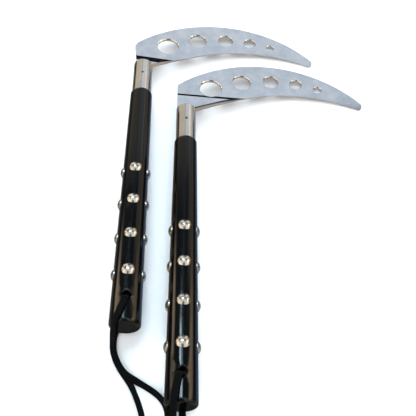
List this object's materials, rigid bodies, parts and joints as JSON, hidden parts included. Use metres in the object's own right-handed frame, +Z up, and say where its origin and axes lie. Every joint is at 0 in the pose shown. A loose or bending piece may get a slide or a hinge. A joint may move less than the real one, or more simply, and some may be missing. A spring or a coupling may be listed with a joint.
{
  "type": "pair of studded training sickles",
  "caption": "Pair of sickle-shaped training sticks: tapered black studded handles with wrist laces, metal ferrules and blunt curved blades drilled with holes of falling size.",
  "frame": {"origin": "on the surface the sticks lie on, at the middle of the box of both sticks without their laces", "axes": "+Z up, +Y along the handles from butt to blade, +X from the handles towards the blade tips"},
  "size_m": [0.2456, 0.5059, 0.0327],
  "materials": {
    "lacquered_wood": "deep black gloss lacquer",
    "ferrule_chrome": "polished nickel-chrome tube",
    "pin_brass": "dull brass pin end",
    "blade_chrome": "polished chrome plate",
    "stud_chrome": "polished domed nail heads",
    "lace": "matte braided polyester"
  },
  "bodies": {
    "left_stick": {"left_handle": "lacquered_wood", "left_ferrule": "ferrule_chrome", "left_ferrule_pin": "pin_brass", "left_blade": "blade_chrome", "left_studs_front": "stud_chrome", "left_studs_inner": "stud_chrome", "left_studs_back": "stud_chrome", "left_studs_outer": "stud_chrome", "left_lace_front": "lace", "left_lace_back": "lace", "left_lace_knot": "lace"},
    "right_stick": {"right_handle": "lacquered_wood", "right_ferrule": "ferrule_chrome", "right_ferrule_pin": "pin_brass", "right_blade": "blade_chrome", "right_studs_front": "stud_chrome", "right_studs_inner": "stud_chrome", "right_studs_back": "stud_chrome", "right_studs_outer": "stud_chrome", "right_lace_front": "lace", "right_lace_back": "lace", "right_lace_knot": "lace"}
  },
  "joints": [
    {"name": "right_stick_lift", "type": "slide", "parent": "left_stick", "child": "right_stick", "axis": [0, 0, 1], "range_m": [0, 0.12]}
  ]
}
